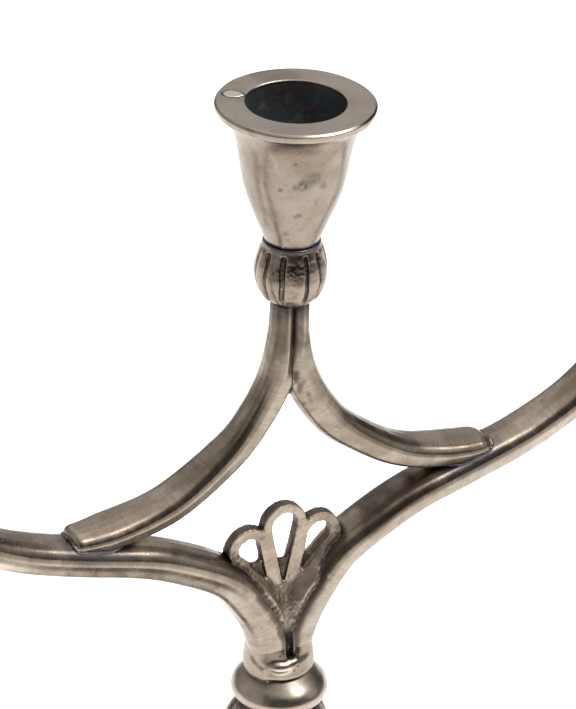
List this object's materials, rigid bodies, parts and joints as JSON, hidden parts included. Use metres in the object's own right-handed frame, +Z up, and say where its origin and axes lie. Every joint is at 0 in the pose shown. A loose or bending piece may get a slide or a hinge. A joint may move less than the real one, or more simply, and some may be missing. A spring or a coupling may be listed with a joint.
{
  "type": "table candelabrum",
  "caption": "Table candelabrum: sweeping faceted arms, flanged candle cups on fluted knobs, a wishbone centre support, a pierced palmette and a round flared foot.",
  "frame": {"origin": "centre of the foot's underside, on the table", "axes": "+Z up the stem, +X towards the right-hand arm, front at -Y"},
  "size_m": [0.2322, 0.118, 0.256],
  "materials": {
    "cup_metal": "worn satin nickel silver, warm grey-beige, tarnished dark inside the bore",
    "knob_metal": "worn nickel silver with near-black tarnish in the flutes",
    "branch_metal": "file-finished cast nickel silver, bright on the ridges, dark at the joints",
    "palmette_metal": "rough stippled casting with dark tarnish",
    "stem_metal": "turned nickel silver, satin, darker in the grooves",
    "steel_hardware": "dull zinc-plated steel",
    "green_felt": "dense wool felt"
  },
  "bodies": {
    "stem_and_foot": {"felt_ring": "green_felt", "foot": "stem_metal", "rod_nut": "steel_hardware", "rod_washer": "steel_hardware", "tie_rod": "steel_hardware", "stem_shaft": "stem_metal", "lower_ring": "stem_metal", "stem_knop": "knob_metal", "upper_ring": "stem_metal"},
    "branch_head": {"collar": "stem_metal", "left_arm": "branch_metal", "right_arm": "branch_metal", "palmette": "palmette_metal", "left_leg": "branch_metal", "right_leg": "branch_metal", "centre_knob": "knob_metal", "centre_cup": "cup_metal", "centre_cup_screw": "steel_hardware", "left_knob": "knob_metal", "left_cup": "cup_metal", "left_cup_screw": "steel_hardware", "right_knob": "knob_metal", "right_cup": "cup_metal", "right_cup_screw": "steel_hardware"}
  },
  "joints": [
    {"name": "head_turn", "type": "hinge", "parent": "stem_and_foot", "child": "branch_head", "pos_m": [0, 0, 0.106], "axis": [0, 0, 1], "range_deg": [-180, 180]}
  ]
}
